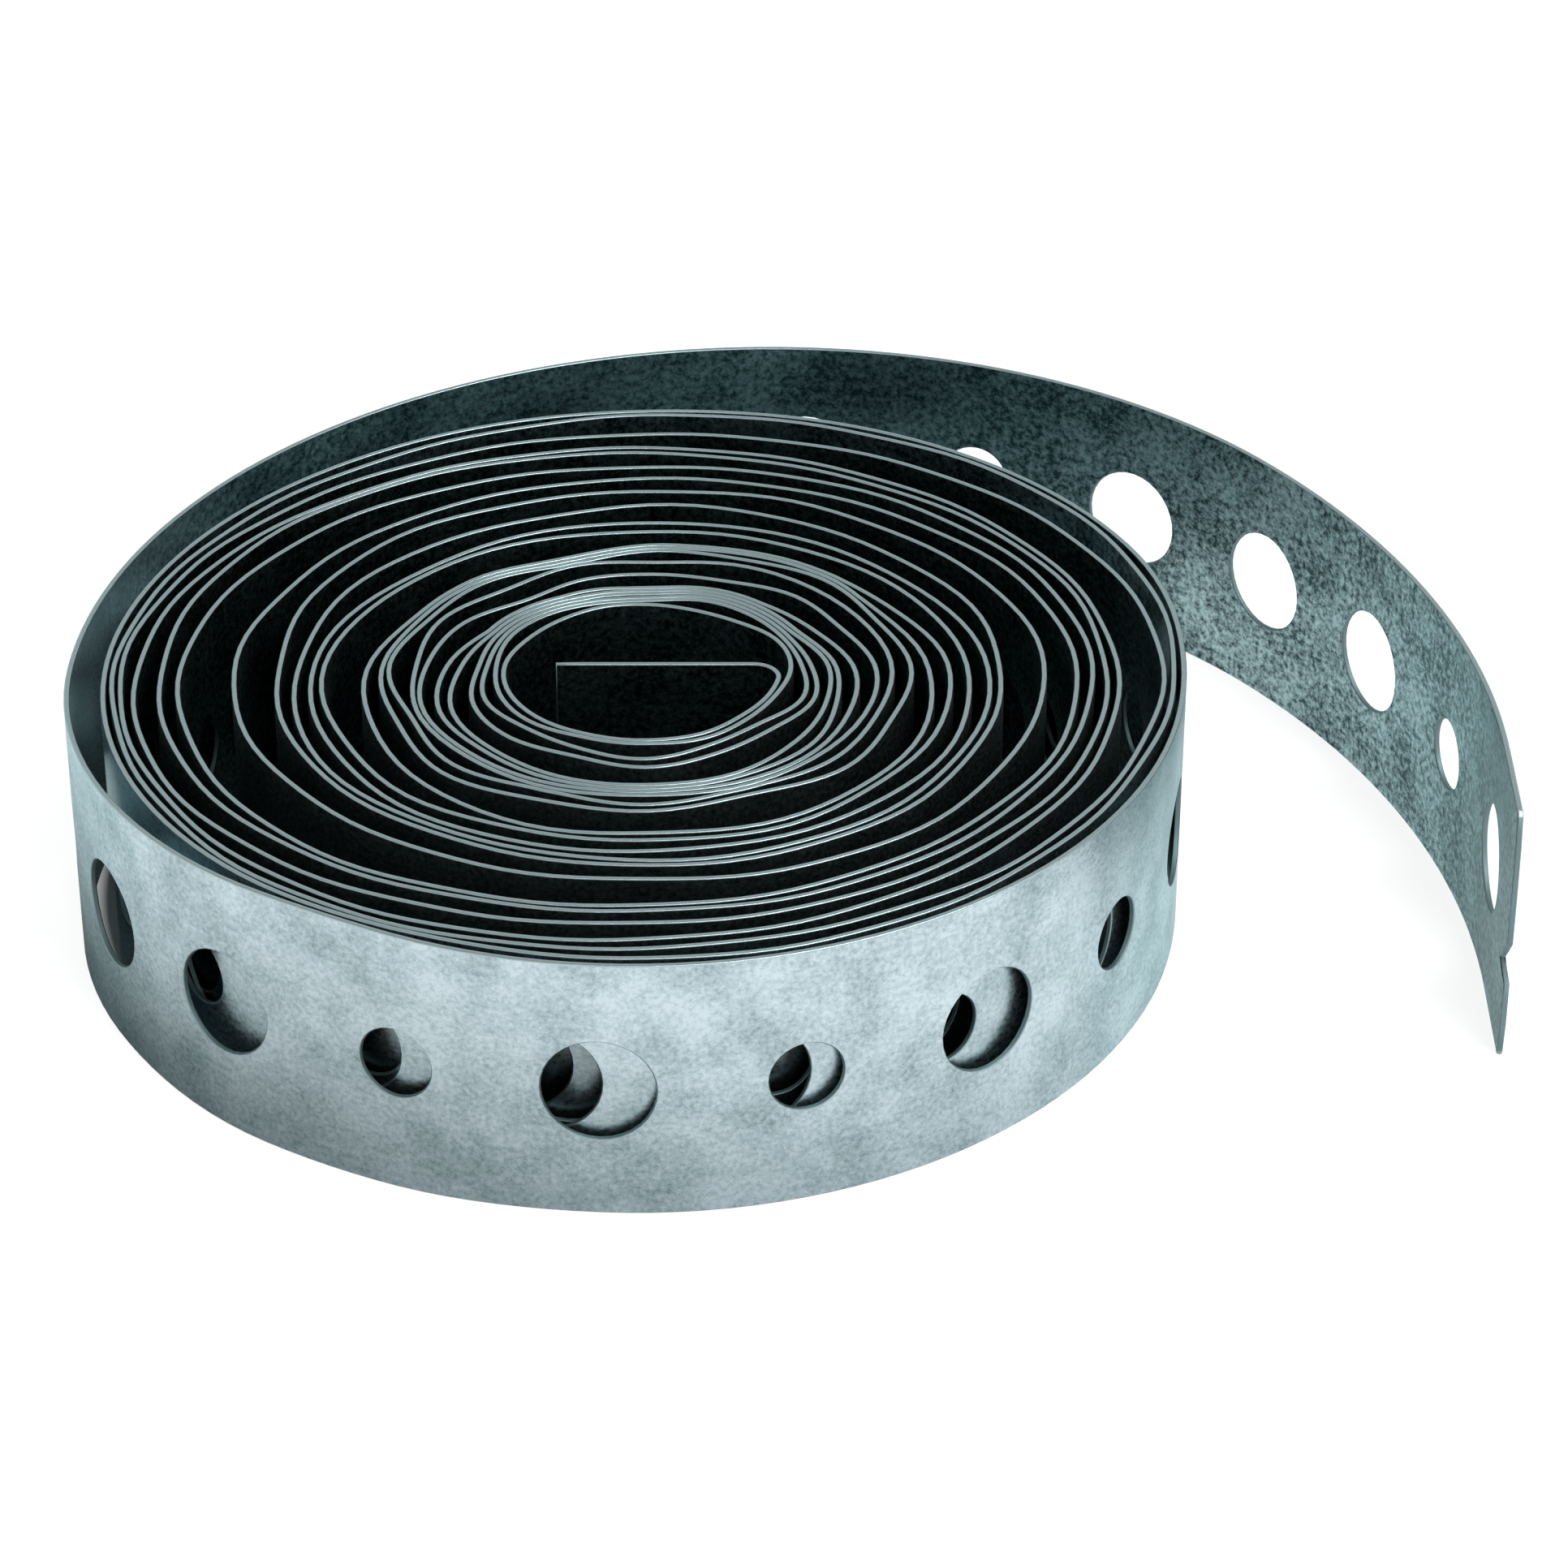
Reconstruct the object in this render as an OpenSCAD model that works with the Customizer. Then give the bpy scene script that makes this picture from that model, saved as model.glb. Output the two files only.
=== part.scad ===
// Hanger strap: a long thin steel band, punched with a row of large and small holes and
// wound into an upright coil. Its outer end has sprung loose and stands away from the coil,
// its inner end is folded across the bore. Millimetres, the coil stands on its edge.

/* [Strap] */
// Width of the band, which is the height of the coil
strap_w = 19; // [15:0.5:30]
// Thickness of the sheet
strap_t = 0.4; // [0.3:0.05:0.6]

/* [Holes] */
// Diameter of the large holes
big_d = 7.6; // [5.5:0.1:9]
// Diameter of the small holes
small_d = 5.2; // [3:0.1:5.4]
// Distance from one hole to the next along the band
hole_pitch = 13.3; // [11:0.1:20]
// Distance from the cut end of the band to the middle of its first whole hole
first_hole = 9.9; // [8:0.1:13]

/* [Coil] */
// Outer diameter of the coil
coil_d = 73.2; // [60:0.2:110]
// Depth of the gaps between the turns, from each face
gap_depth = 8; // [1:0.5:8.5]

/* [Loose end] */
// Direction in which the loose end leaves the coil, in degrees from the right
leave_angle = -117; // [-130:1:-105]
// How much wider than the coil the first bend is
bend_1_extra = 64.2; // [50:0.1:80]
// Angle of the first bend, where the band leaves the coil
bend_1_angle = 4.9; // [4:0.1:8]
// How much tighter than the coil the second bend is
bend_2_less = 4.3; // [0:0.1:6]
// Angle of the second bend, on the left of the coil
bend_2_angle = 59.1; // [52:0.1:62]
// How much wider than the coil the third bend is
bend_3_extra = 11.1; // [8:0.1:20]
// Angle of the third bend, behind the coil
bend_3_angle = 80.4; // [66:0.1:86]
// How much wider than the coil the fourth bend is
bend_4_extra = 8.3; // [4:0.1:14]
// Angle of the fourth bend, on the right behind the coil
bend_4_angle = 61.9; // [50:0.1:70]
// How much wider than the coil the last bend is
bend_5_extra = 28.5; // [20:0.1:60]
// Angle of the last bend
bend_5_angle = 37.2; // [30:0.1:44]
// Length of the straight stretch between the last bend and the cut end
straight_l = 8.4; // [4:0.1:12]

/* [Inner end] */
// Length of the straight inner end, across the bore
flap_l = 13.2; // [6:0.1:14]
// Distance of the inner end from the middle of the bore, towards the back
flap_y = 0; // [-2:0.1:3]
// Outer radius of the fold between the inner end and the innermost turn
flap_bend_r = 2.2; // [1.5:0.1:3]

/* [Hidden] */
$fn = 120;
zinc = [0.72, 0.77, 0.78];
coil_r = coil_d / 2;
// Middle of each turn in a coil of drawn_d, from the outermost turn to the innermost, in eight
// directions that start at the right and go around by the back, the left and the front. The
// turns lie unevenly, tight in front and loose on the right and the left.
drawn_d = 73.2;
turn_r = [
    [36.2, 37.3, 36.5, 36.2, 36.6, 35.6, 35.5, 35.3],
    [35.7, 36.7, 35.9, 35.2, 35.9, 35.1, 34.3, 34.1],
    [34.9, 33.8, 33.0, 34.0, 35.4, 34.5, 33.6, 32.3],
    [31.8, 30.8, 30.9, 32.4, 34.4, 33.4, 31.6, 31.1],
    [31.0, 30.0, 30.0, 31.9, 32.8, 31.7, 30.1, 30.0],
    [30.0, 28.9, 28.0, 29.7, 31.5, 31.0, 29.4, 29.1],
    [28.9, 27.1, 26.2, 26.7, 27.9, 27.1, 26.4, 27.2],
    [26.7, 25.1, 24.3, 25.2, 24.9, 24.9, 24.9, 24.6],
    [23.7, 22.4, 22.2, 22.7, 23.5, 24.4, 24.4, 24.1],
    [22.9, 20.5, 19.6, 20.3, 22.6, 23.5, 23.1, 23.0],
    [21.4, 19.3, 18.3, 19.6, 21.9, 22.2, 22.0, 21.6],
    [20.4, 17.5, 16.4, 16.7, 18.8, 20.5, 21.1, 21.1],
    [18.9, 17.0, 15.9, 16.2, 17.9, 18.9, 18.3, 18.6],
    [17.7, 16.5, 15.3, 15.6, 17.4, 17.6, 17.2, 17.1],
    [16.5, 15.1, 14.1, 14.7, 15.7, 16.5, 16.7, 16.3],
    [15.3, 13.5, 12.4, 12.4, 15.0, 16.0, 16.2, 15.9],
    [14.0, 11.6, 10.9, 11.3, 13.6, 15.1, 15.7, 14.6],
    [12.6, 11.0, 10.2, 10.8, 12.6, 14.5, 15.2, 14.1],
    [12.2, 10.5, 9.7, 10.3, 11.5, 12.8, 13.1, 11.7],
    [10.9, 10.0, 9.2, 9.8, 11.0, 11.2, 11.9, 10.8],
    [10.3, 9.5, 8.7, 9.3, 10.3, 10.3, 10.1, 9.8],
    [9.6, 8.5, 8.1, 8.8, 9.6, 9.8, 9.6, 9.2],
];
// Where the fold of the inner end meets the innermost turn, at the right
last_r = 9.1;
// Least width of a gap, where two turns touch in the real coil
least_gap = 0.12;
places = len(turn_r[0]);
place_a = 360 / places;
// The loose end is the outermost turn up to the right of the coil, from this place on
lap_places = 3;
turn_line = concat(
    [for (i = [1:lap_places]) coil_r - strap_t - least_gap],
    [for (i = [0:len(turn_r) - 1], j = [0:places - 1]) knot_r(i, j)],
    [last_r * coil_d / drawn_d]
);
line_start = -lap_places * place_a;
line_end = len(turn_r) * 360;
// Directions in which the gaps start and end, clear of the loose end and of the fold
gap_start = leave_angle + 4;
gap_end = line_end - 360 - place_a / 2;
steps_per_place = 4;
gap_steps = round((gap_end - gap_start) / place_a * steps_per_place);
gap_angles = [for (i = [0:gap_steps]) gap_start + i * (gap_end - gap_start) / gap_steps];
bore_steps = places * steps_per_place;
bore_angles = [for (i = [0:bore_steps]) line_end - 360 + i * 360 / bore_steps];
bore_r = line_r(line_end) - strap_t / 2;
// How much of the strap's thickness lies between the loose end's start and the first gap
start_clear = 0.05;
leave_r = coil_r - strap_t + start_clear;
bend_r = [
    coil_r + bend_1_extra,
    coil_r - bend_2_less,
    coil_r + bend_3_extra,
    coil_r + bend_4_extra,
    coil_r + bend_5_extra,
];
bend_angles = [bend_1_angle, bend_2_angle, bend_3_angle, bend_4_angle, bend_5_angle];
last = len(bend_r) - 1;
bends_l = bend_start(last) + bend_len(last);
loose_l = bends_l + straight_l;
// Sizes of the holes, which repeat along the band from its cut end
hole_row = [small_d, big_d, small_d, big_d, big_d, big_d, small_d, big_d, small_d, big_d];
mid_z = strap_w / 2;
// Length of the loose end that is still sunk in the rib of the coil
sunk_l = 10;
// The last hole that is clear of the coil, and the last one of a full turn around the coil
loose_holes = 1 + floor((loose_l - first_hole - sunk_l) / hole_pitch);
all_holes = floor((loose_l - first_hole + 2 * PI * coil_r) / hole_pitch);
// Room beyond each face of the band for the tools that cut its holes
cut_room = 0.1;
// How far the fold of the inner end is let into the innermost turn
fold_sink = 0.3;
// The loose end's outline, as places on its outer face about 2 mm apart
face_l = 2;
faces = ceil(loose_l / face_l);
loose_line = [for (i = [0:faces]) loose_at(i / faces * loose_l)];
low_x = min([for (p = loose_line) p.x]);
high_x = max([for (p = loose_line) p.x]);
high_y = max([for (p = loose_line) p.y]);
centre = [(low_x + high_x) / 2, (high_y - coil_r) / 2, 0];

// Middle of a turn in one of the directions of its row, inside the turn around it
function knot_r(i, j) =
    min(
        turn_r[i][j] * coil_d / drawn_d,
        i == 0 ? coil_r - strap_t / 2 : knot_r(i - 1, j) - strap_t - least_gap
    );

// Middle of the wound band at an angle that runs on from turn to turn
function line_r(a) =
    let (n = (a - line_start) / place_a, i = min(floor(n), len(turn_line) - 2))
    turn_line[i] + (n - i) * (turn_line[i + 1] - turn_line[i]);

function on_circle(r, a) = [r * cos(a), r * sin(a)];

function bend_len(i) = bend_r[i] * bend_angles[i] * PI / 180;

function bend_start(i) = i == 0 ? 0 : bend_start(i - 1) + bend_len(i - 1);

// A place on the outer face of the loose end is [x, y, heading]; it runs clockwise.
function bend_pose(i) =
    i == 0
        ? [leave_r * cos(leave_angle), leave_r * sin(leave_angle), leave_angle - 90]
        : along(bend_pose(i - 1), bend_r[i - 1], bend_len(i - 1));

function bend_middle(p, r) = [p.x + r * sin(p.z), p.y - r * cos(p.z)];

function along(p, r, s) =
    let (m = bend_middle(p, r), a = p.z + 90 - s / r * 180 / PI)
    [m.x + r * cos(a), m.y + r * sin(a), a - 90];

function straight_on(p, s) = [p.x + s * cos(p.z), p.y + s * sin(p.z), p.z];

function loose_at(s) =
    let (i = max([for (j = [0:last]) if (j == 0 || bend_start(j) <= s) j]))
    s > bends_l
        ? straight_on(bend_pose(last + 1), s - bends_l)
        : along(bend_pose(i), bend_r[i], s - bend_start(i));

function inner_place(p) = [p.x + strap_t * sin(p.z), p.y - strap_t * cos(p.z)];

function hole_s(k) = loose_l - first_hole - (k - 1) * hole_pitch;

// Hole 0 is a large one beyond the cut end, which only nicks the end.
function hole_d(k) = k == 0 ? big_d : hole_row[k % len(hole_row)];

// Body of the coil, with the gap that winds between its turns sunk into both faces
module coil() {
    half = strap_t / 2;
    gap_outside = [for (a = gap_angles) on_circle(line_r(a) - half, a)];
    gap_inside = [for (i = [gap_steps:-1:0]) on_circle(line_r(gap_angles[i] + 360) + half, gap_angles[i])];
    difference() {
        cylinder(r = coil_r, h = strap_w);
        translate([0, 0, -cut_room])
            linear_extrude(strap_w + 2 * cut_room)
                polygon([for (a = bore_angles) on_circle(line_r(a) - half, a)]);
        for (z = [-cut_room, strap_w - gap_depth])
            translate([0, 0, z])
                linear_extrude(gap_depth + cut_room)
                    polygon(concat(gap_outside, gap_inside));
    }
}

// Band of the loose end, between its outer face and its inner one
module loose_end() {
    outer = [for (p = loose_line) [p.x, p.y]];
    inner = [for (i = [faces:-1:0]) inner_place(loose_line[i])];
    linear_extrude(strap_w) polygon(concat(outer, inner));
}

// Inner end, folded off the innermost turn and straight across the bore
module inner_end() {
    fold_x = bore_r + fold_sink - flap_bend_r;
    fold_y = flap_y + strap_t - flap_bend_r;
    intersection() {
        cylinder(r = bore_r + fold_sink, h = strap_w);
        union() {
            translate([fold_x - flap_l, flap_y, 0]) cube([flap_l, strap_t, strap_w]);
            translate([fold_x, fold_y, 0])
                rotate_extrude(angle = 90)
                    translate([flap_bend_r - strap_t, 0]) square([strap_t, strap_w]);
            translate([fold_x + flap_bend_r - strap_t, fold_y - flap_bend_r, 0])
                cube([strap_t, flap_bend_r, strap_w]);
        }
    }
}

// Tool for a hole straight through the loose end, at a distance along it
module loose_hole(s, d) {
    p = loose_at(s);
    depth = strap_t + d * d / (8 * min(bend_r)) + cut_room;
    translate([p.x, p.y, mid_z])
        rotate([0, 90, p.z + 90])
            translate([0, 0, -depth]) cylinder(d = d, h = depth + cut_room);
}

// Tool for a hole in the outer turn of the coil, down to the turn below it
module coil_hole(a, d) {
    difference() {
        rotate([0, 90, a])
            translate([-mid_z, 0, bore_r])
                cylinder(d = d, h = coil_r + cut_room - bore_r);
        cylinder(r = coil_r - strap_t, h = strap_w);
    }
}

module strap() {
    color(zinc)
        translate(-centre)
            difference() {
                union() {
                    coil();
                    loose_end();
                    inner_end();
                }
                for (k = [0:loose_holes])
                    loose_hole(hole_s(k), hole_d(k));
                for (k = [loose_holes + 1:all_holes])
                    coil_hole(leave_angle - hole_s(k) / coil_r * 180 / PI, hole_d(k));
            }
}

strap();
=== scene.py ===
"""Looks of the hanger strap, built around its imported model.

One piece replaces the turned coil: the real band, punched along its whole length, wound
into its turns and sprung loose at its outer end. Sizes are millimetres until the mesh
is made, and metres after that.
"""
import math

import bpy
import numpy as np
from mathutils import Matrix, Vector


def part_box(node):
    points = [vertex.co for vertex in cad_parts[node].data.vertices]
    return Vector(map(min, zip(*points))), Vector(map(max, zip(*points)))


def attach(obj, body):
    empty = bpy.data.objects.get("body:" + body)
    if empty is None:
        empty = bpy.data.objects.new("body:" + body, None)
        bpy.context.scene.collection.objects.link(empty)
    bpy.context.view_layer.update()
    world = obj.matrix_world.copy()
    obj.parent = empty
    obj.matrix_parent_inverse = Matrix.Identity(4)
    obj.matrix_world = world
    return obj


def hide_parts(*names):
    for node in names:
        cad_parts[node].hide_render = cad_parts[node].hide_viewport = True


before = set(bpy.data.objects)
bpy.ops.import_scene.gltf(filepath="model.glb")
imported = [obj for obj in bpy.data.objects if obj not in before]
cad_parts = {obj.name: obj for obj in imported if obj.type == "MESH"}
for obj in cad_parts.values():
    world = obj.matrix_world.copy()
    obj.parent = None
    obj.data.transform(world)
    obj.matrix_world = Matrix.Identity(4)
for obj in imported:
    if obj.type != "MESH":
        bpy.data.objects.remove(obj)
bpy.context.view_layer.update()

# Metres in a millimetre
MM = 0.001

# Band and holes, at the sizes of the part's source
STRAP_T = 0.4
BIG_R = 3.8
SMALL_R = 2.6
HOLE_PITCH = 13.3
FIRST_HOLE = 9.9
HOLE_ROW = [SMALL_R, BIG_R, SMALL_R, BIG_R, BIG_R, BIG_R, SMALL_R, BIG_R, SMALL_R, BIG_R]

# Loose end, as in the source: where it leaves the coil, then radius and angle of each bend
COIL_R = 36.6
LEAVE_ANGLE = -117
START_CLEAR = 0.05
BENDS = [
    (COIL_R + 64.2, 4.9),
    (COIL_R - 4.3, 59.1),
    (COIL_R + 11.1, 80.4),
    (COIL_R + 8.3, 61.9),
    (COIL_R + 28.5, 37.2),
]
STRAIGHT_L = 8.4
# The lower edge leans out around this distance from the cut end, over this length
LEAN = 0.8
LEAN_AT = 203.0
LEAN_L = 40.0
# The cut end: a height on it, and how far the cut lies back there. It has one sharp notch,
# and its corners are clipped.
CUT_END = [
    (0.1, 0.4),
    (2.6, 0.0),
    (5.9, 0.0),
    (6.2, 2.7),
    (7.6, 1.35),
    (9.0, 0.05),
    (13.0, 0.0),
    (16.6, 0.1),
    (18.9, 0.5),
]

# The outermost turn from the loose end to the right of the coil, as angle and radius
LAP = [(360 + LEAVE_ANGLE, 36.05), (270, 36.1), (292.5, 36.0), (315, 35.9), (337.5, 35.95)]
# Radius of each turn, from the outermost to the innermost, in sixteen directions that start
# at the right and go around by the back, the left and the front. They were read from
# the photo, and guessed where turns touch. The turns lie unevenly, tight in front.
TURNS = [
    (36.2, 37.1, 37.2, 37.0, 36.5, 36.4, 36.3, 36.4, 36.6, 36.5, 36.1, 35.3, 35.3, 35.2, 34.9, 34.9),
    (35.6, 36.3, 36.6, 36.2, 35.9, 35.3, 35.2, 35.5, 36.0, 35.8, 35.6, 34.8, 34.2, 33.9, 34.1, 34.2),
    (34.8, 34.5, 33.9, 33.3, 32.9, 33.2, 33.8, 34.7, 35.5, 35.2, 34.8, 34.0, 33.2, 32.7, 32.2, 32.0),
    (31.7, 31.3, 30.8, 30.6, 30.8, 31.4, 32.3, 33.6, 34.4, 34.5, 33.5, 32.2, 31.4, 31.3, 31.1, 31.2),
    (30.9, 30.7, 30.0, 29.7, 30.0, 30.8, 31.9, 32.6, 32.8, 32.7, 31.8, 30.6, 30.0, 30.0, 29.9, 29.9),
    (30.0, 29.5, 28.8, 28.3, 27.9, 28.5, 29.7, 30.7, 31.5, 31.5, 31.1, 30.0, 29.4, 29.2, 29.0, 29.2),
    (28.9, 28.2, 27.1, 26.5, 26.2, 26.3, 26.8, 27.2, 27.9, 27.7, 27.1, 26.7, 26.4, 26.9, 27.1, 26.7),
    (26.8, 26.0, 25.0, 24.8, 24.3, 24.5, 25.2, 25.2, 24.9, 25.2, 25.0, 24.7, 24.8, 24.9, 24.8, 24.2),
    (23.8, 23.4, 22.4, 22.3, 22.3, 21.9, 22.7, 23.3, 23.5, 24.4, 24.4, 24.0, 24.2, 24.3, 24.1, 23.5),
    (23.0, 21.6, 20.5, 20.1, 19.6, 20.1, 20.3, 21.4, 22.6, 23.0, 23.5, 23.4, 23.1, 23.1, 23.0, 22.5),
    (21.5, 20.5, 19.4, 18.8, 18.4, 18.9, 19.8, 20.6, 21.9, 22.0, 22.4, 22.0, 21.8, 22.1, 21.5, 21.0),
    (20.3, 18.5, 17.4, 16.9, 16.4, 15.9, 16.8, 17.4, 18.8, 19.7, 20.6, 21.3, 21.0, 21.3, 20.9, 20.1),
    (18.9, 17.4, 17.0, 16.5, 16.0, 15.4, 16.4, 16.9, 17.9, 18.0, 18.9, 18.3, 18.3, 17.8, 18.5, 17.8),
    (17.7, 16.7, 16.6, 15.8, 15.6, 15.0, 16.0, 16.4, 17.4, 17.0, 17.7, 17.1, 17.5, 17.0, 17.2, 16.7),
    (16.4, 15.8, 15.2, 14.9, 14.0, 14.6, 14.4, 15.5, 15.7, 16.3, 16.5, 16.6, 16.5, 16.5, 16.3, 15.8),
    (15.4, 13.9, 13.6, 12.5, 12.3, 12.6, 12.3, 14.0, 15.0, 15.9, 16.1, 16.1, 16.0, 16.0, 15.8, 14.7),
    (13.9, 12.2, 11.3, 11.2, 10.4, 10.9, 11.3, 11.9, 13.5, 15.0, 15.1, 15.7, 15.5, 15.5, 15.0, 13.7),
    (12.7, 11.1, 10.8, 10.7, 10.0, 10.4, 10.9, 11.4, 12.6, 14.1, 14.6, 15.2, 15.1, 15.1, 13.9, 13.0),
    (12.2, 10.7, 10.4, 10.3, 9.6, 10.0, 10.5, 11.0, 11.4, 12.6, 12.8, 12.5, 13.0, 12.2, 11.8, 12.0),
    (11.0, 10.3, 10.0, 9.8, 9.2, 9.5, 10.1, 10.6, 10.9, 11.6, 11.3, 11.5, 11.9, 11.1, 10.7, 11.2),
    (10.4, 9.9, 9.6, 9.4, 8.8, 9.1, 9.7, 10.2, 10.3, 10.5, 10.5, 10.1, 10.0, 10.1, 9.7, 9.5),
    (9.6, 9.3, 8.4, 8.0, 8.1, 8.5, 8.7, 9.0, 9.6, 9.9, 9.9, 9.6, 9.6, 9.6, 9.1, 9.0),
]
TURN_PLACES = len(TURNS[0])
# Least distance between the middles of two turns that touch
TOUCH = STRAP_T + 0.02
# The band bends most at its holes, so each turn is a little out of round by this much. That
# sets in and fades out over these angles. It shifts the holes, so it is worked out in rounds.
KINK = 0.07
KINK_FADE_IN = 45
KINK_FADE_OUT = 90
KINK_ROUNDS = 2
# Steps along the path: degrees in the coil, millimetres in a bend, places on a straight
# stretch, and the distance under which two places are one
ANGLE_STEP = 0.5
PATH_STEP = 0.3
STRAIGHT_STEPS = 20
SAME_PLACE = PATH_STEP / 10

# Inner end: its fold and its straight flap across the bore
FOLD_R = 1.7
FOLD_X = 7.15
FOLD_Y = -1.5
FLAP_L = 13.4

# Mesh of one hole's stretch of band: cells across the band, the most cells along it, the
# rings around the hole as shares of the way out, and the most that one cell bends
SIDE_CELLS = 8
MOST_CELLS = 40
RINGS = (0.0, 0.25, 0.6, 1.0)
CELL_BEND = math.radians(8)
# Width of the rounding on every edge
EDGE_ROUND = 0.11

# Colours of the zinc, darkest and palest, on the outer face, the inner face and the cut edges
OUTER_DARK = (0.14, 0.25, 0.26, 1)
OUTER_PALE = (0.70, 0.83, 0.88, 1)
# Dark colour mixed in as painted shade, and to darken the cut end
DARKENING = (0.02, 0.06, 0.06, 1)
# Black that the painted shade on the wound turns mixes in
PAINTED_SHADE_BLACK = (0, 0, 0, 1)
# The inner face is darker than the outer one as painted shade
INNER_DARK = (0.03, 0.06, 0.065, 1)
INNER_PALE = (0.44, 0.62, 0.64, 1)
EDGE_DARK = (0.30, 0.42, 0.43, 1)
EDGE_PALE = (0.76, 0.90, 0.92, 1)
# Tint of the metal where it is seen along its face
GRAZING_TINT = (0.72, 0.87, 0.88, 1)
# Noises over the flat band: scale, detail and roughness
CLOUDS = (0.22, 5, 0.65)
GRAIN = (2.6, 3, 0.7)
SPECKLE = (1.9, 4, 0.75)
# How far apart the two faces lie in the noise, so that they don't match
FACES_APART = 40.0
# Part of a noise's range that is spread over a tone, wide and narrow, and those tones
MIDDLE = (0.3, 0.7)
CORE = (0.35, 0.65)
OUTER_CLOUDS = (0.42, 1.0)
OUTER_GRAIN = (-0.3, 0.3)
INNER_CLOUDS = (0.1, 0.8)
INNER_SPECKLE = (-0.6, 0.6)
EDGE_SPECKLE = (-0.2, 1.0)
FACE_ROUGH = (0.24, 0.36)
BUMP_STRENGTH = 0.15
BUMP_HEIGHT = 0.00005
# Depth in the band from its middle, as a share of half its thickness: where the inner face's
# colour gives way to the outer one's, and where the edge's gives way to either
INNER_SIDE = (-0.9, -0.6)
FACE_SIDE = (0.7, 0.98)
# Rims of the holes and the cut end, which are darker and duller than the two long edges
RIM_COLOUR = (0.22, 0.31, 0.32, 1)
RIM_ROUGH = 0.6
LONG_EDGE = 0.4
# Wound turns are darker than the two outermost ones as painted shade, from this distance along the
# band on
PAINTED_SHADE_FROM = 640.0
PAINTED_SHADE_TONE = 0.6
# Darkening as a share, with where it is full and where it has faded out. Low on the outer face
# it is painted shade: it runs along the whole loose end, and fades out as the coil begins.
LOW_PAINTED_SHADE = 0.36
LOW_PAINTED_SHADE_Z = (1.0, 10.0)
LOW_PAINTED_SHADE_S = (188.0, 222.0)
# On the inner face it is painted shade around the middle of the loose end, and a darkening at the cut
# end
BACK_PAINTED_SHADE = 0.5
BACK_PAINTED_SHADE_AT = 104.0
BACK_PAINTED_SHADE_S = (28.0, 48.0)
END_DARKENING = 0.45
END_DARKENING_S = (12.0, 24.0)
# Just before the coil the inner face is pale, as painted light: where that sets in, is full, and ends
PAINTED_LIGHT = 0.8
PAINTED_LIGHT_S = (138.0, 168.0, 200.0)

# Floor, sky and lamp, in metres
FLOOR_HALF = 3.0
FLOOR_COLOUR = (0.5, 0.5, 0.5, 1)
FLOOR_GLOW = 0.78
FLOOR_GLOSS_SHARE = 0.68
# Discs of the floor that don't glow, in millimetres: place from the coil's middle, and the
# two radii between which the glow sets in. One lies under the coil, so that the floor seen through
# its gaps is dark, as painted shade; the metal reflects the other as a painted shadow in front of it.
UNDER_COIL = ((-1.5, 4.0), 36.5, 38.5)
FRONT_SHADE = ((-9.0, -8.0), 30.0, 51.0)
HORIZON_LIGHT = 0.9
ZENITH_LIGHT = 0.6
SKY_RISE = 0.7
LAMP_PLACE = (0.55, -0.45, 1.0)
LAMP_SIZE = 0.8
LAMP_POWER = 9.0

# Camera, fitted to the photo: where it aims from the coil's middle, how far away it stands,
# how high, how wide it sees, and the nearest thing that it sees, in metres
AIM_FROM_COIL = (9.196, -15.184)
CAMERA_DISTANCE = 335.26
CAMERA_RISE = 32.14
FIELD_OF_VIEW = 17.30
CLIP_START = 0.01


def direction(angle):
    """Unit vector at an angle in degrees."""
    return np.array([math.cos(math.radians(angle)), math.sin(math.radians(angle))])


def arc(middle, radius, start, sweep):
    """Places on an arc, PATH_STEP apart or less, through sweep degrees from start."""
    count = math.ceil(math.radians(abs(sweep)) * radius / PATH_STEP)
    angles = np.radians(start + sweep * np.linspace(0, 1, count + 1))
    return middle + radius * np.column_stack((np.cos(angles), np.sin(angles)))


def straight(start, heading, length):
    """Places on a straight line from start."""
    return start + np.outer(np.linspace(0, length, STRAIGHT_STEPS), heading)


def loose_end(inset):
    """Loose end from the coil to the cut end, at a depth below the band's outer face."""
    heading = LEAVE_ANGLE - 90
    place = (COIL_R - STRAP_T + START_CLEAR) * direction(LEAVE_ANGLE)
    stretches = []
    for radius, sweep in BENDS:
        middle = place - radius * direction(heading + 90)
        stretches.append(arc(middle, radius - inset, heading + 90, -sweep))
        heading -= sweep
        place = middle + radius * direction(heading + 90)
    stretches.append(straight(stretches[-1][-1], direction(heading), STRAIGHT_L))
    return np.concatenate(stretches)


def coil_middle(low, high):
    """Middle of the coil in the row frame, from the corners of the part's box."""
    outer = loose_end(0)
    box_x = (low[0] + high[0]) / 2
    return np.array([box_x - (outer[:, 0].min() + outer[:, 0].max()) / 2, low[1] + COIL_R])


def knots():
    """Angle and radius of each known place of the coil, from outside to inside."""
    places = list(LAP)
    for i, turn in enumerate(TURNS):
        for j, radius in enumerate(turn):
            places.append((360 * (i + 1 + j / TURN_PLACES), radius))
    fold_start = (FOLD_X + FOLD_R, FOLD_Y)
    end_angle = 360 * (len(TURNS) + 1) + math.degrees(math.atan2(fold_start[1], fold_start[0]))
    if end_angle < places[-1][0] + 360 / TURN_PLACES / 2:
        places.pop()
    places.append((end_angle, math.hypot(*fold_start)))
    return np.array(places).T


def smooth_radius(angles):
    """Radius of the coil at each angle, on a smooth curve through its known places."""
    known_a, known_r = knots()
    slope = np.gradient(known_r, known_a)
    i = np.clip(np.searchsorted(known_a, angles, side="right") - 1, 0, len(known_a) - 2)
    gap = known_a[i + 1] - known_a[i]
    t = (angles - known_a[i]) / gap
    start = (1 + 2 * t) * (1 - t) ** 2 * known_r[i] + t * (1 - t) ** 2 * gap * slope[i]
    end = t * t * (3 - 2 * t) * known_r[i + 1] - t * t * (1 - t) * gap * slope[i + 1]
    return start + end


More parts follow.
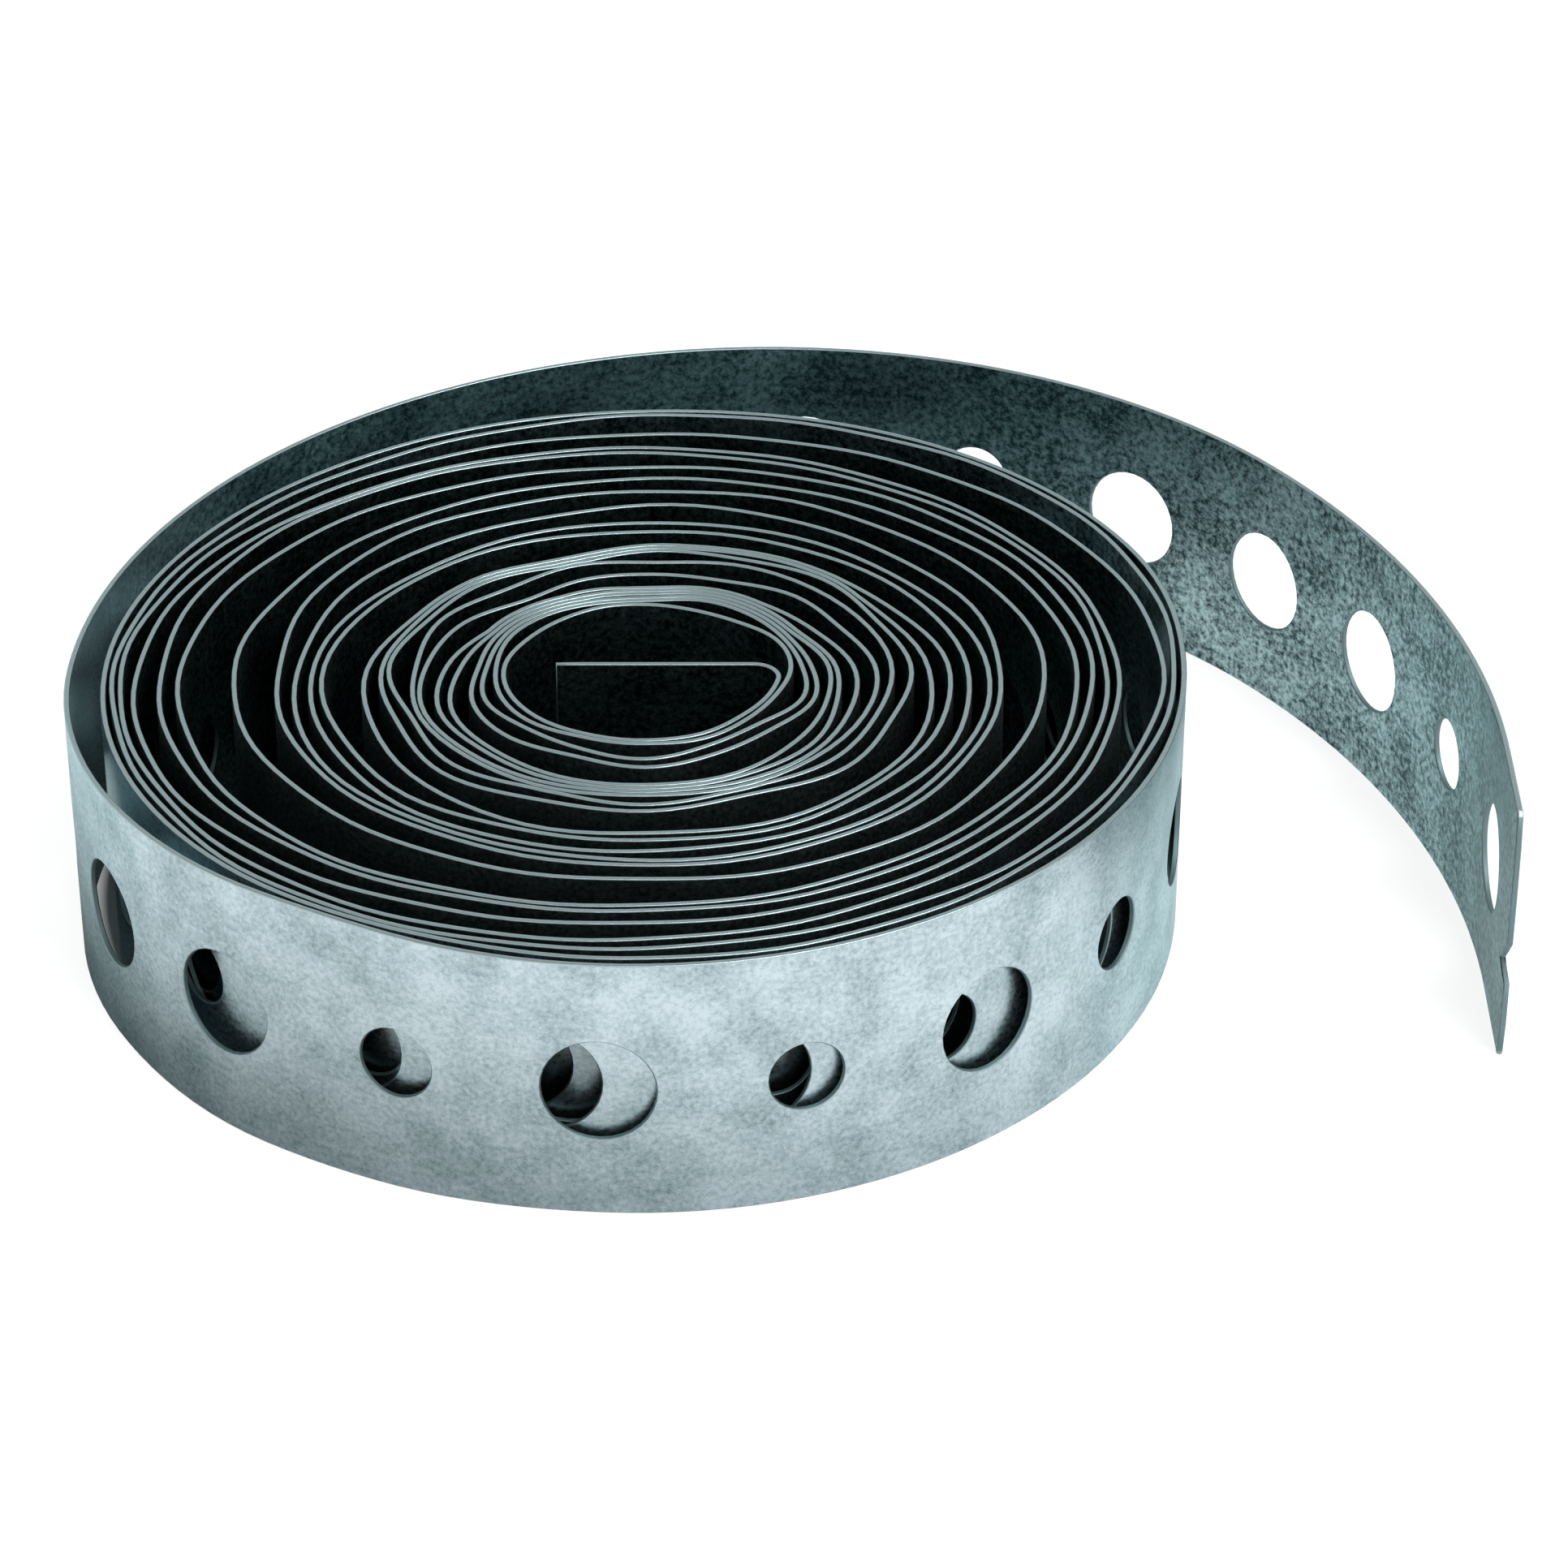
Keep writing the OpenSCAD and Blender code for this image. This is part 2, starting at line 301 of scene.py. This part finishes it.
def keep_apart(radii):
    """Moves each turn out to where it touches the turn inside it."""
    turn = round(360 / ANGLE_STEP)
    apart = radii.copy()
    for i in range(len(apart) - turn - 1, -1, -1):
        apart[i] = max(apart[i], apart[i + turn] + TOUCH)
    return apart


def on_circle(angles, radii):
    """Places at angles in degrees and radii around the coil's middle."""
    turned = np.radians(angles)
    return np.column_stack((radii * np.cos(turned), radii * np.sin(turned)))


def lengths(places):
    """Distance along a line of places, from its first one."""
    steps = np.hypot(*np.diff(places, axis=0).T)
    return np.concatenate(([0], np.cumsum(steps)))


def coil_turns(loose_length):
    """Middle line of the coil, from where the loose end leaves it to the fold."""
    known_a = knots()[0]
    count = round((known_a[-1] - known_a[0]) / ANGLE_STEP)
    angles = known_a[0] + ANGLE_STEP * np.arange(count + 1)
    base = smooth_radius(angles)
    radii = keep_apart(base)
    for _ in range(KINK_ROUNDS):
        along = loose_length + lengths(on_circle(angles, radii))
        kinks = KINK * np.cos(2 * math.pi * (along - FIRST_HOLE) / HOLE_PITCH)
        fade_in = np.clip((angles - angles[0] - 360) / KINK_FADE_IN, 0, 1)
        fade_out = np.clip((angles[-1] - angles) / KINK_FADE_OUT, 0, 1)
        radii = keep_apart(base + kinks * fade_in * fade_out)
    return on_circle(angles, radii)


def inner_end():
    """Fold and flap, from the innermost turn to the inner end of the band."""
    fold = arc(np.array([FOLD_X, FOLD_Y]), FOLD_R, 0, 90)
    return np.concatenate((fold, straight(fold[-1], (-1, 0), FLAP_L)))


def band_path():
    """Middle line of the whole band, from its cut end to its inner end."""
    outside = loose_end(STRAP_T / 2)[::-1]
    coil = coil_turns(lengths(loose_end(0))[-1])
    line = np.concatenate((outside, coil, inner_end()))
    moved = np.hypot(*np.diff(line, axis=0).T) > SAME_PLACE
    return line[np.concatenate(([True], moved))]


class Path:
    """Places and outward directions along the band's middle line, in the row frame."""

    def __init__(self, line, middle):
        self.line = line + middle
        heading = np.gradient(self.line, lengths(self.line), axis=0)
        heading /= np.hypot(*heading.T)[:, None]
        self.out = np.column_stack((heading[:, 1], -heading[:, 0]))
        # The source spaces the holes along the outer face
        self.along = lengths(self.line + STRAP_T / 2 * self.out)
        self.length = self.along[-1]

    def at(self, s):
        """Place of the middle line at distances along it."""
        return np.column_stack([np.interp(s, self.along, self.line[:, i]) for i in (0, 1)])

    def outward(self, s):
        """Direction from the band's middle line to its outer face."""
        raw = np.column_stack([np.interp(s, self.along, self.out[:, i]) for i in (0, 1)])
        return raw / np.hypot(*raw.T)[:, None]

    def lean(self, s):
        """How far the lower edge stands out from under the upper one."""
        share = np.clip((s - LEAN_AT) / LEAN_L, -0.5, 0.5)
        return LEAN * np.cos(math.pi * share) ** 2

    def cells(self, start, end):
        """Cells that a stretch needs, so that none of them bends too much."""
        s = np.linspace(start, min(end, self.length), math.ceil((end - start) / PATH_STEP))
        out = self.outward(s)
        bend = np.abs(out[:-1, 0] * out[1:, 1] - out[:-1, 1] * out[1:, 0]).max()
        needed = math.ceil(bend / CELL_BEND * (len(s) - 1))
        return max(SIDE_CELLS, min(MOST_CELLS, needed))


class Sheet:
    """The flat band: places (distance along it, height) and the cells between them."""

    def __init__(self):
        self.places = []
        self.cells = []
        self.index = {}

    def place(self, s, z):
        """Number of a place, which is added if it is new."""
        key = (round(s, 4), round(z, 4))
        if key not in self.index:
            self.index[key] = len(self.places)
            self.places.append((s, z))
        return self.index[key]

    def grid(self, rows):
        """Adds the cells between rows of places, each row as long as the next."""
        for low, high in zip(rows, rows[1:]):
            for i in range(len(low) - 1):
                self.cells.append((low[i], low[i + 1], high[i + 1], high[i]))

    def rim(self):
        """Edges that only one cell has: the outline of the sheet and of its holes."""
        edges = {}
        for cell in self.cells:
            for a, b in zip(cell, cell[1:] + cell[:1]):
                edges[(a, b)] = True
        return [edge for edge in edges if (edge[1], edge[0]) not in edges]


def around(counts):
    """Shares from 0 to 1 along each of four sides, and the number of its side."""
    return [(side, i / count) for side, count in enumerate(counts) for i in range(count)]


def punched_stretch(sheet, s_mid, radius, low, high, cells):
    """One pitch of the band around its hole, as rings from the hole out to a rectangle."""
    half_s = HOLE_PITCH / 2
    corners = np.array([(half_s, low), (half_s, high), (-half_s, high), (-half_s, low)])
    corners[:, 0] += s_mid
    middle = np.array([s_mid, (low + high) / 2])
    steps = around((SIDE_CELLS, cells, SIDE_CELLS, cells))
    outline = np.array([corners[i] + t * (corners[(i + 1) % 4] - corners[i]) for i, t in steps])
    hole = np.array([middle + radius * direction(90 * (i + t) - 45) for i, t in steps])
    rows = []
    for share in RINGS:
        ring = hole + share * (outline - hole)
        row = [sheet.place(*p) for p in ring]
        rows.append(row + row[:1])
    sheet.grid(rows[::-1])


def plain_stretch(sheet, starts, ends, cells):
    """An end of the band without a whole hole, between two columns of places."""
    rows = []
    for start, end in zip(starts, ends):
        steps = np.linspace(0, 1, cells + 1)
        rows.append([sheet.place(*(start + t * (end - start))) for t in steps])
    sheet.grid(rows)


def flat_band(path, width):
    """The whole band laid flat, without its rounded edges."""
    sheet = Sheet()
    low = EDGE_ROUND
    high = width - EDGE_ROUND
    side = np.linspace(low, high, SIDE_CELLS + 1)

    def column(s):
        return np.column_stack((np.full(len(side), s), side))

    first = FIRST_HOLE - HOLE_PITCH / 2
    whole = math.floor((path.length - first - EDGE_ROUND) / HOLE_PITCH)
    for k in range(whole):
        radius = HOLE_ROW[(k + 1) % len(HOLE_ROW)]
        start = first + k * HOLE_PITCH
        cells = path.cells(start, start + HOLE_PITCH)
        punched_stretch(sheet, start + HOLE_PITCH / 2, radius, low, high, cells)
    cut = np.array([(EDGE_ROUND + back, min(max(z, low), high)) for z, back in CUT_END])
    plain_stretch(sheet, cut, column(first), SIDE_CELLS // 2)
    last = first + whole * HOLE_PITCH
    plain_stretch(sheet, column(last), column(path.length - EDGE_ROUND), path.cells(last, path.length))
    return sheet


def rim_directions(sheet, edges):
    """Flat direction out of the sheet at each place of its rim."""
    places = np.array(sheet.places)
    out = {}
    for a, b in edges:
        along = places[b] - places[a]
        normal = np.array([along[1], -along[0]]) / math.hypot(*along)
        for i in (a, b):
            out[i] = out.get(i, 0) + normal
    return {i: n / math.hypot(*n) for i, n in out.items()}


def band_points(path, width, layer, floor):
    """Places, normals and flat places of one layer of the mesh's points."""
    places, depth, side, away = layer
    s = places[:, 0]
    outward = path.outward(s)
    proud = depth + path.lean(s) * (1 - places[:, 1] / width)
    spot = path.at(s) + proud[:, None] * outward
    if side:
        normals = np.column_stack((side * outward, np.zeros(len(places))))
    else:
        ahead = np.column_stack((-outward[:, 1], outward[:, 0]))
        normals = np.column_stack((ahead * away[:, :1], away[:, 1]))
    share = np.full(len(places), depth / (STRAP_T / 2))
    return (
        np.column_stack((spot, places[:, 1] + floor)),
        normals,
        np.column_stack((places, share)),
    )


def band_faces(cells, edges, rim, count):
    """Faces of the mesh: two sheets, and a rounded rim of three strips between them."""
    rim_number = {place: i for i, place in enumerate(rim)}
    faces = list(cells)
    faces += [tuple(i + count for i in cell[::-1]) for cell in cells]
    top = 2 * count
    bottom = top + len(rim)
    for a, b in edges:
        ra = rim_number[a]
        rb = rim_number[b]
        faces.append((b, a, top + ra, top + rb))
        faces.append((top + rb, top + ra, bottom + ra, bottom + rb))
        faces.append((bottom + rb, bottom + ra, count + a, count + b))
    return faces


def band_mesh(name, path, width, floor):
    """Mesh of the wound band: two faces, joined around every hole and edge by a rounded rim."""
    sheet = flat_band(path, width)
    edges = sheet.rim()
    out = rim_directions(sheet, edges)
    flat = np.array(sheet.places)
    rim = sorted(out)
    away = np.array([out[i] for i in rim])
    rim_flat = flat[rim] + EDGE_ROUND * away
    half = STRAP_T / 2
    layers = [
        (flat, half, 1, None),
        (flat, -half, -1, None),
        (rim_flat, half - EDGE_ROUND, 0, away),
        (rim_flat, EDGE_ROUND - half, 0, away),
    ]
    points = [band_points(path, width, layer, floor) for layer in layers]
    verts, normals, marks = (np.concatenate(part) for part in zip(*points))
    faces = band_faces(sheet.cells, edges, rim, len(flat))
    mesh = bpy.data.meshes.new(name)
    mesh.from_pydata((verts * MM).tolist(), [], faces)
    mesh.polygons.foreach_set("use_smooth", [True] * len(mesh.polygons))
    flat_place = mesh.attributes.new("flat_place", "FLOAT_VECTOR", "POINT")
    flat_place.data.foreach_set("vector", marks.ravel())
    mesh.normals_split_custom_set_from_vertices(normals.tolist())
    return mesh


class Nodes:
    """Short calls that add and link the nodes of one material."""

    def __init__(self, tree):
        self.tree = tree
        tree.nodes.clear()

    def feed(self, socket, value):
        """Links a socket to another one, or sets its value."""
        if isinstance(value, bpy.types.NodeSocket):
            self.tree.links.new(value, socket)
        else:
            socket.default_value = value

    def add(self, kind, **inputs):
        """A new node, its inputs fed by name."""
        node = self.tree.nodes.new(kind)
        for name, value in inputs.items():
            self.feed(node.inputs[name.replace("_", " ")], value)
        return node

    def math(self, operation, a, b=0.0):
        node = self.tree.nodes.new("ShaderNodeMath")
        node.operation = operation
        self.feed(node.inputs[0], a)
        self.feed(node.inputs[1], b)
        return node.outputs[0]

    def spread(self, value, low, high, to_low, to_high):
        """The value from low to high, mapped to the range from to_low to to_high."""
        node = self.add("ShaderNodeMapRange", Value=value, From_Min=low, From_Max=high)
        self.feed(node.inputs["To Min"], to_low)
        self.feed(node.inputs["To Max"], to_high)
        return node.outputs["Result"]

    def mix(self, factor, a, b):
        """A colour between two others, through the node's sockets for colours."""
        node = self.tree.nodes.new("ShaderNodeMix")
        node.data_type = "RGBA"
        self.feed(node.inputs[0], factor)
        self.feed(node.inputs[6], a)
        self.feed(node.inputs[7], b)
        return node.outputs[2]

    def noise(self, vector, scale, detail, roughness):
        node = self.add("ShaderNodeTexNoise", Vector=vector, Scale=scale, Detail=detail)
        self.feed(node.inputs["Roughness"], roughness)
        return node.outputs["Fac"]

    def both(self, a, b):
        """The sum of two values."""
        return self.math("ADD", a, b)


def patina_noises(n, vector):
    """Clouds, grain and speckle over the flat band, not the same on its two faces."""
    apart = n.tree.nodes.new("ShaderNodeVectorMath")
    apart.operation = "MULTIPLY"
    n.feed(apart.inputs[0], vector)
    n.feed(apart.inputs[1], (1.0, 1.0, FACES_APART))
    spot = apart.outputs["Vector"]
    return [n.noise(spot, *kind) for kind in (CLOUDS, GRAIN, SPECKLE)]


def outer_colour(n, clouds, grain, along, height):
    """Colour of the outer face, with painted shade low down on the loose end."""
    tone = n.both(n.spread(clouds, *MIDDLE, *OUTER_CLOUDS), n.spread(grain, *MIDDLE, *OUTER_GRAIN))
    # Painted shade, low on the outer face of the loose end
    low_down = n.spread(height, *LOW_PAINTED_SHADE_Z, 1, 0)
    low_down = n.math("MULTIPLY", low_down, n.spread(along, *LOW_PAINTED_SHADE_S, 1, 0))
    low_painted_shade = n.math("MULTIPLY", low_down, LOW_PAINTED_SHADE)
    return n.mix(low_painted_shade, n.mix(tone, OUTER_DARK, OUTER_PALE), DARKENING)


def inner_colour(n, clouds, speckle, along):
    """Colour of the inner face, with its painted shade and painted light, and darker at the cut end.
    """
    tone = n.both(n.spread(clouds, *MIDDLE, *INNER_CLOUDS), n.spread(speckle, *CORE, *INNER_SPECKLE))
    # Painted shade around the middle of the loose end, and a darker cut end
    from_back = n.math("ABSOLUTE", n.math("SUBTRACT", along, BACK_PAINTED_SHADE_AT))
    back = n.spread(from_back, *BACK_PAINTED_SHADE_S, BACK_PAINTED_SHADE, 0)
    end = n.spread(along, *END_DARKENING_S, END_DARKENING, 0)
    inner = n.mix(n.both(back, end), n.mix(tone, INNER_DARK, INNER_PALE), DARKENING)
    # Painted light on the inner face just before the coil
    light_start, light_full, light_end = PAINTED_LIGHT_S
    painted_light = n.spread(along, light_start, light_full, 0, PAINTED_LIGHT)
    painted_light = n.math("MULTIPLY", painted_light, n.math("LESS_THAN", along, light_end))
    return n.mix(painted_light, inner, OUTER_PALE)


def on_long_edge(n, height, width):
    """1 on the band's upper and lower edge, 0 on its holes' rims and its cut end."""
    from_middle = n.math("ABSOLUTE", n.math("SUBTRACT", height, width / 2))
    return n.spread(from_middle, width / 2 - LONG_EDGE, width / 2 - LONG_EDGE / 2, 0, 1)


def zinc_material(width):
    """Hot-dipped zinc: cloudy and grainy outside, more speckled inside and darker there as painted
    shade.
    """
    material = bpy.data.materials.new("zinc")
    material.use_nodes = True
    n = Nodes(material.node_tree)
    place = n.add("ShaderNodeAttribute")
    place.attribute_name = "flat_place"
    vector = place.outputs["Vector"]
    parts = n.add("ShaderNodeSeparateXYZ", Vector=vector)
    along = parts.outputs["X"]
    height = parts.outputs["Y"]
    depth = parts.outputs["Z"]
    clouds, grain, speckle = patina_noises(n, vector)
    outer = outer_colour(n, clouds, grain, along, height)
    inner = inner_colour(n, clouds, speckle, along)
    inside = n.spread(depth, *INNER_SIDE, 1, 0)
    # Painted shade on the wound turns, mixed towards black
    wound = n.spread(along, PAINTED_SHADE_FROM, PAINTED_SHADE_FROM + HOLE_PITCH, 1.0, PAINTED_SHADE_TONE)
    face = n.mix(wound, PAINTED_SHADE_BLACK, n.mix(inside, outer, inner))
    long_edge = on_long_edge(n, height, width)
    edge_tone = n.spread(speckle, *CORE, *EDGE_SPECKLE)
    edge = n.mix(long_edge, RIM_COLOUR, n.mix(edge_tone, EDGE_DARK, EDGE_PALE))
    at_edge = n.spread(n.math("ABSOLUTE", depth), *FACE_SIDE, 1, 0)
    at_rim = n.math("MULTIPLY", at_edge, n.math("SUBTRACT", 1.0, long_edge))
    rough = n.spread(at_rim, 0, 1, n.spread(grain, *MIDDLE, *FACE_ROUGH), RIM_ROUGH)
    bump = n.add("ShaderNodeBump", Height=grain, Strength=BUMP_STRENGTH, Distance=BUMP_HEIGHT)
    shader = n.add("ShaderNodeBsdfPrincipled", Base_Color=n.mix(at_edge, face, edge), Roughness=rough)
    shader.inputs["Metallic"].default_value = 1.0
    shader.inputs["Specular Tint"].default_value = GRAZING_TINT
    n.feed(shader.inputs["Normal"], bump.outputs["Normal"])
    n.add("ShaderNodeOutputMaterial", Surface=shader.outputs["BSDF"])
    return material


def make_band(low, high, middle):
    """The real band, in place of the turned coil."""
    path = Path(band_path(), middle)
    mesh = band_mesh("strap_band", path, high[2] - low[2], low[2])
    band = bpy.data.objects.new("strap_band", mesh)
    bpy.context.scene.collection.objects.link(band)
    mesh.materials.append(zinc_material(high[2] - low[2]))
    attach(band, "root")
    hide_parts("strap")


def beyond_disc(n, middle, disc):
    """0 on a disc of the floor, rising to 1 around it."""
    shift, inner_r, outer_r = disc
    place = n.add("ShaderNodeNewGeometry")
    apart = n.tree.nodes.new("ShaderNodeVectorMath")
    apart.operation = "DISTANCE"
    n.feed(apart.inputs[0], place.outputs["Position"])
    n.feed(apart.inputs[1], ((middle[0] + shift[0]) * MM, (middle[1] + shift[1]) * MM, 0))
    return n.spread(apart.outputs["Value"], inner_r * MM, outer_r * MM, 0, 1)


def floor_glow(n, middle):
    """Glow of the floor as the camera and the metal see it."""
    rays = n.add("ShaderNodeLightPath")
    gloss = n.math("MAXIMUM", rays.outputs["Is Glossy Ray"], rays.outputs["Is Transmission Ray"])
    gloss = n.math("MULTIPLY", gloss, beyond_disc(n, middle, FRONT_SHADE))
    gloss = n.math("MULTIPLY", gloss, FLOOR_GLOSS_SHARE)
    seen = n.both(rays.outputs["Is Camera Ray"], gloss)
    seen = n.math("MULTIPLY", seen, beyond_disc(n, middle, UNDER_COIL))
    return n.math("MULTIPLY", seen, FLOOR_GLOW)


def make_floor(middle):
    """Pale floor, which takes the part's shadow."""
    mesh = bpy.data.meshes.new("floor")
    corners = [(x * FLOOR_HALF, y * FLOOR_HALF, 0) for x, y in ((-1, -1), (1, -1), (1, 1), (-1, 1))]
    mesh.from_pydata(corners, [], [(0, 1, 2, 3)])
    floor = bpy.data.objects.new("floor", mesh)
    bpy.context.scene.collection.objects.link(floor)
    material = bpy.data.materials.new("floor")
    material.use_nodes = True
    n = Nodes(material.node_tree)
    paint = n.add("ShaderNodeBsdfDiffuse", Color=FLOOR_COLOUR)
    glow = n.add("ShaderNodeEmission", Strength=floor_glow(n, middle))
    both = n.add("ShaderNodeAddShader")
    n.feed(both.inputs[0], paint.outputs[0])
    n.feed(both.inputs[1], glow.outputs[0])
    n.add("ShaderNodeOutputMaterial", Surface=both.outputs[0])
    mesh.materials.append(material)


def make_world():
    """An even pale sky, a little darker overhead."""
    world = bpy.data.worlds.new("world")
    bpy.context.scene.world = world
    world.use_nodes = True
    n = Nodes(world.node_tree)
    way = n.add("ShaderNodeTexCoord")
    parts = n.add("ShaderNodeSeparateXYZ", Vector=way.outputs["Generated"])
    strength = n.spread(parts.outputs["Z"], 0, SKY_RISE, HORIZON_LIGHT, ZENITH_LIGHT)
    sky = n.add("ShaderNodeBackground", Strength=strength)
    n.add("ShaderNodeOutputWorld", Surface=sky.outputs[0])


def point_at(thing, place, aim):
    """Puts a camera or lamp at a place and turns it to look at another, upright."""
    place = np.array(place, float)
    look = np.array(aim, float) - place
    turn = math.atan2(look[1], look[0]) - math.pi / 2
    tilt = math.atan2(math.hypot(look[0], look[1]), -look[2])
    thing.location = place
    thing.rotation_euler = (tilt, 0, turn)


def make_lamp():
    """One broad, soft lamp."""
    light = bpy.data.lights.new("soft_light", "AREA")
    light.shape = "DISK"
    light.size = LAMP_SIZE
    light.energy = LAMP_POWER
    lamp = bpy.data.objects.new("soft_light", light)
    point_at(lamp, LAMP_PLACE, (0, 0, 0))
    bpy.context.scene.collection.objects.link(lamp)


def make_camera(middle, top):
    """Camera at the photo's viewing angle."""
    camera = bpy.data.cameras.new("camera")
    camera.sensor_fit = "HORIZONTAL"
    camera.angle = math.radians(FIELD_OF_VIEW)
    camera.clip_start = CLIP_START
    eye = bpy.data.objects.new("camera", camera)
    rise = math.radians(CAMERA_RISE)
    aim = np.array([middle[0] + AIM_FROM_COIL[0], middle[1] + AIM_FROM_COIL[1], top]) * MM
    away = CAMERA_DISTANCE * MM * np.array([0, -math.cos(rise), math.sin(rise)])
    point_at(eye, aim + away, aim)
    bpy.context.scene.collection.objects.link(eye)
    bpy.context.scene.camera = eye


low, high = (np.array(corner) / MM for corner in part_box("strap"))
middle = coil_middle(low, high)
make_camera(middle, high[2])
make_world()
make_floor(middle)
make_lamp()
make_band(low, high, middle)
bpy.context.scene.view_settings.view_transform = "Standard"
